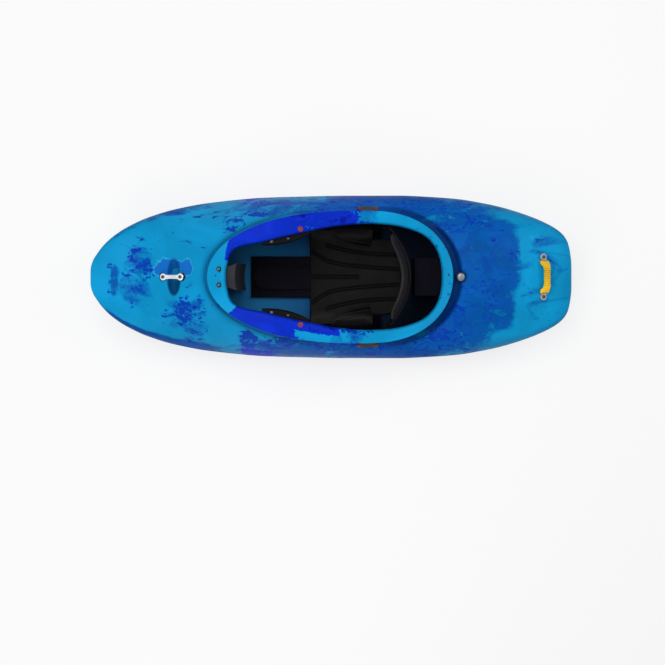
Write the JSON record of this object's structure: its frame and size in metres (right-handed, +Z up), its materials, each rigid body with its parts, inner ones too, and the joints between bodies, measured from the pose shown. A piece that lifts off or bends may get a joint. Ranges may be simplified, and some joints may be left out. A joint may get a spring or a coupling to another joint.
{
  "type": "whitewater kayak",
  "caption": "Short freestyle whitewater kayak: moulded hull with cockpit rim, safety bar, grab handle, drain plug, adjustable seat, backband, thigh hooks and footrests.",
  "frame": {"origin": "middle of the bounding box in plan, at the level of the flat planing bottom", "axes": "-X towards the bow, +X towards the stern, +Y to starboard, -Y to port, +Z up"},
  "size_m": [1.84, 0.631, 0.389],
  "materials": {
    "blue_hull": "moulded, slightly glossy",
    "steel": "polished stainless",
    "dark_steel": "dark stainless",
    "aluminium": "anodised",
    "yellow_grip": "satin, ribbed",
    "grey_plastic": "satin",
    "black_plastic": "satin",
    "black_rubber": "matt",
    "red_washer": "satin",
    "black_fabric": "stitched neoprene over foam",
    "dark_foam": "closed-cell foam"
  },
  "bodies": {
    "hull": {"hull_shell": "blue_hull", "bow_safety_bar": "steel", "bow_bar_bolt_front": "steel", "bow_bar_bolt_rear": "steel", "stern_handle_plate_left": "grey_plastic", "stern_handle_plate_right": "grey_plastic", "stern_handle_bolt_left": "steel", "stern_handle_bolt_right": "steel", "drain_fitting": "black_plastic", "front_pillar": "dark_foam", "rear_pillar": "dark_foam", "pillar_bracket": "grey_plastic", "rim_washer_left": "black_rubber", "rim_washer_right": "black_rubber", "rim_bolt_left": "dark_steel", "rim_bolt_right": "dark_steel", "thigh_washer_left": "red_washer", "thigh_washer_right": "red_washer", "thigh_bolt_left": "dark_steel", "thigh_bolt_right": "dark_steel", "side_plate_left": "black_plastic", "side_plate_right": "black_plastic", "side_washer_left_front": "red_washer", "side_washer_left_rear": "red_washer", "side_washer_right_front": "red_washer", "side_washer_right_rear": "red_washer", "side_bolt_left_front": "dark_steel", "side_bolt_left_rear": "dark_steel", "side_bolt_right_front": "dark_steel", "side_bolt_right_rear": "dark_steel", "ratchet_body_left": "black_plastic", "ratchet_body_right": "black_plastic", "ladder_strap_left": "grey_plastic", "ladder_strap_right": "grey_plastic", "foot_rail_left": "aluminium", "foot_rail_right": "aluminium", "cord_anchor_left": "black_plastic", "cord_anchor_right": "black_plastic"},
    "seat": {"seat_pan": "black_plastic", "seat_pad": "black_fabric", "hip_pad_left": "black_fabric", "hip_pad_right": "black_fabric"},
    "backband": {"backband_shell": "black_plastic", "backband_pad": "black_fabric"},
    "stern_grip": {"stern_handle_grip": "yellow_grip"},
    "drain_seal": {"drain_gasket": "black_rubber"},
    "drain_screw": {"drain_plug": "dark_steel"},
    "thigh_brace_left": {"thigh_hook_left": "black_plastic", "thigh_pad_left": "black_fabric"},
    "thigh_brace_right": {"thigh_hook_right": "black_plastic", "thigh_pad_right": "black_fabric"},
    "lever_left": {"ratchet_lever_left": "grey_plastic"},
    "lever_right": {"ratchet_lever_right": "grey_plastic"},
    "footrest_left": {"footplate_left": "black_plastic"},
    "footrest_right": {"footplate_right": "black_plastic"}
  },
  "joints": [
    {"name": "seat_slide", "type": "slide", "parent": "hull", "child": "seat", "axis": [1, 0, 0], "range_m": [-0.02, 0.02]},
    {"name": "backband_tilt", "type": "hinge", "parent": "hull", "child": "backband", "pos_m": [0.204, 0, 0.168], "axis": [0, 1, 0], "range_deg": [-30, 8]},
    {"name": "stern_grip_swing", "type": "hinge", "parent": "hull", "child": "stern_grip", "pos_m": [0.80153, 0, 0.23009], "axis": [0, 1, 0], "range_deg": [-18, 18]},
    {"name": "drain_lift", "type": "slide", "parent": "hull", "child": "drain_seal", "axis": [0, 0, 1], "range_m": [0, 0.009]},
    {"name": "drain_turn", "type": "hinge", "parent": "drain_seal", "child": "drain_screw", "pos_m": [0.48208, 0, 0.262], "axis": [0, 0, 1], "range_deg": [0, 1080]},
    {"name": "thigh_brace_left_slide", "type": "slide", "parent": "hull", "child": "thigh_brace_left", "axis": [0.958, -0.2287, -0.1731], "range_m": [-0.02, 0.02]},
    {"name": "thigh_brace_right_slide", "type": "slide", "parent": "hull", "child": "thigh_brace_right", "axis": [0.958, 0.2287, -0.1731], "range_m": [-0.02, 0.02]},
    {"name": "lever_left_turn", "type": "hinge", "parent": "hull", "child": "lever_left", "pos_m": [0.12026, -0.23865, 0.20375], "axis": [0.1102, 0.7347, 0.6693], "range_deg": [0, 50], "stiffness_Nm_per_rad": 0.05, "springref_deg": -17.19},
    {"name": "lever_right_turn", "type": "hinge", "parent": "hull", "child": "lever_right", "pos_m": [0.12026, 0.23865, 0.20375], "axis": [-0.1102, 0.7347, -0.6693], "range_deg": [0, 50], "stiffness_Nm_per_rad": 0.05, "springref_deg": -17.19},
    {"name": "footrest_left_slide", "type": "slide", "parent": "hull", "child": "footrest_left", "axis": [1, 0, 0], "range_m": [-0.06, 0.06]},
    {"name": "footrest_right_slide", "type": "slide", "parent": "hull", "child": "footrest_right", "axis": [1, 0, 0], "range_m": [-0.06, 0.06]}
  ],
  "couplings": [
    {"joint": "drain_turn", "follows": "drain_lift", "rad_per_m": 2094.4}
  ]
}
